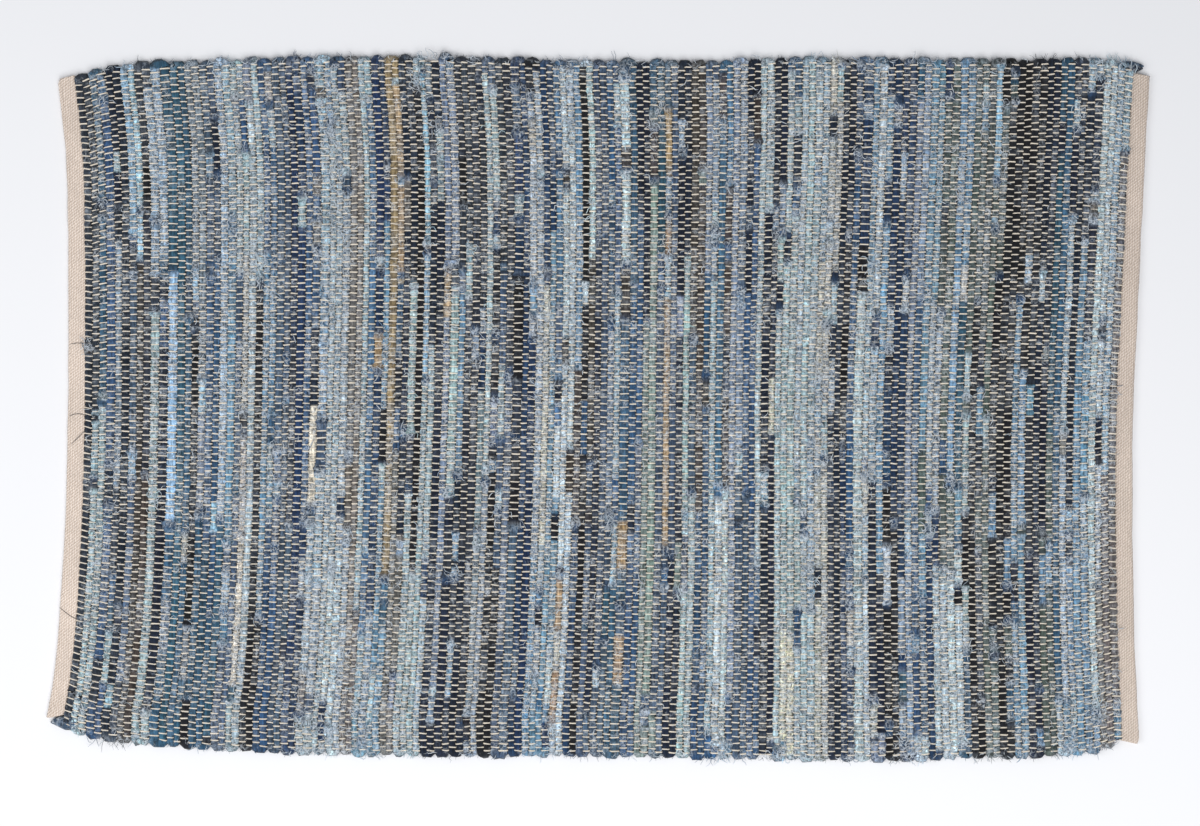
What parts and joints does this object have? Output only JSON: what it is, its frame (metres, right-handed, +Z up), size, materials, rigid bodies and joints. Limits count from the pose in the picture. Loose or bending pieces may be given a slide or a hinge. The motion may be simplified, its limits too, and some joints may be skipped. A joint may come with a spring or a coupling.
{
  "type": "cotton rag rug",
  "caption": "Flat woven rag rug: denim rag strips packed across a cotton warp, with folded cotton tape binding at both ends.",
  "frame": {"origin": "middle of the rug's footprint, on the floor", "axes": "+X along the rug (from one taped end to the other), +Y across it from selvedge to selvedge, +Z up"},
  "size_m": [0.9351, 0.6042, 0.0083],
  "materials": {
    "denim_rags": "worn blue denim strips, matt, hand-woven",
    "natural_cotton_tape": "natural cotton twill tape, matt"
  },
  "bodies": {
    "root": {"rag_panel": "denim_rags", "tape_left": "natural_cotton_tape", "tape_right": "natural_cotton_tape"}
  },
  "joints": []
}
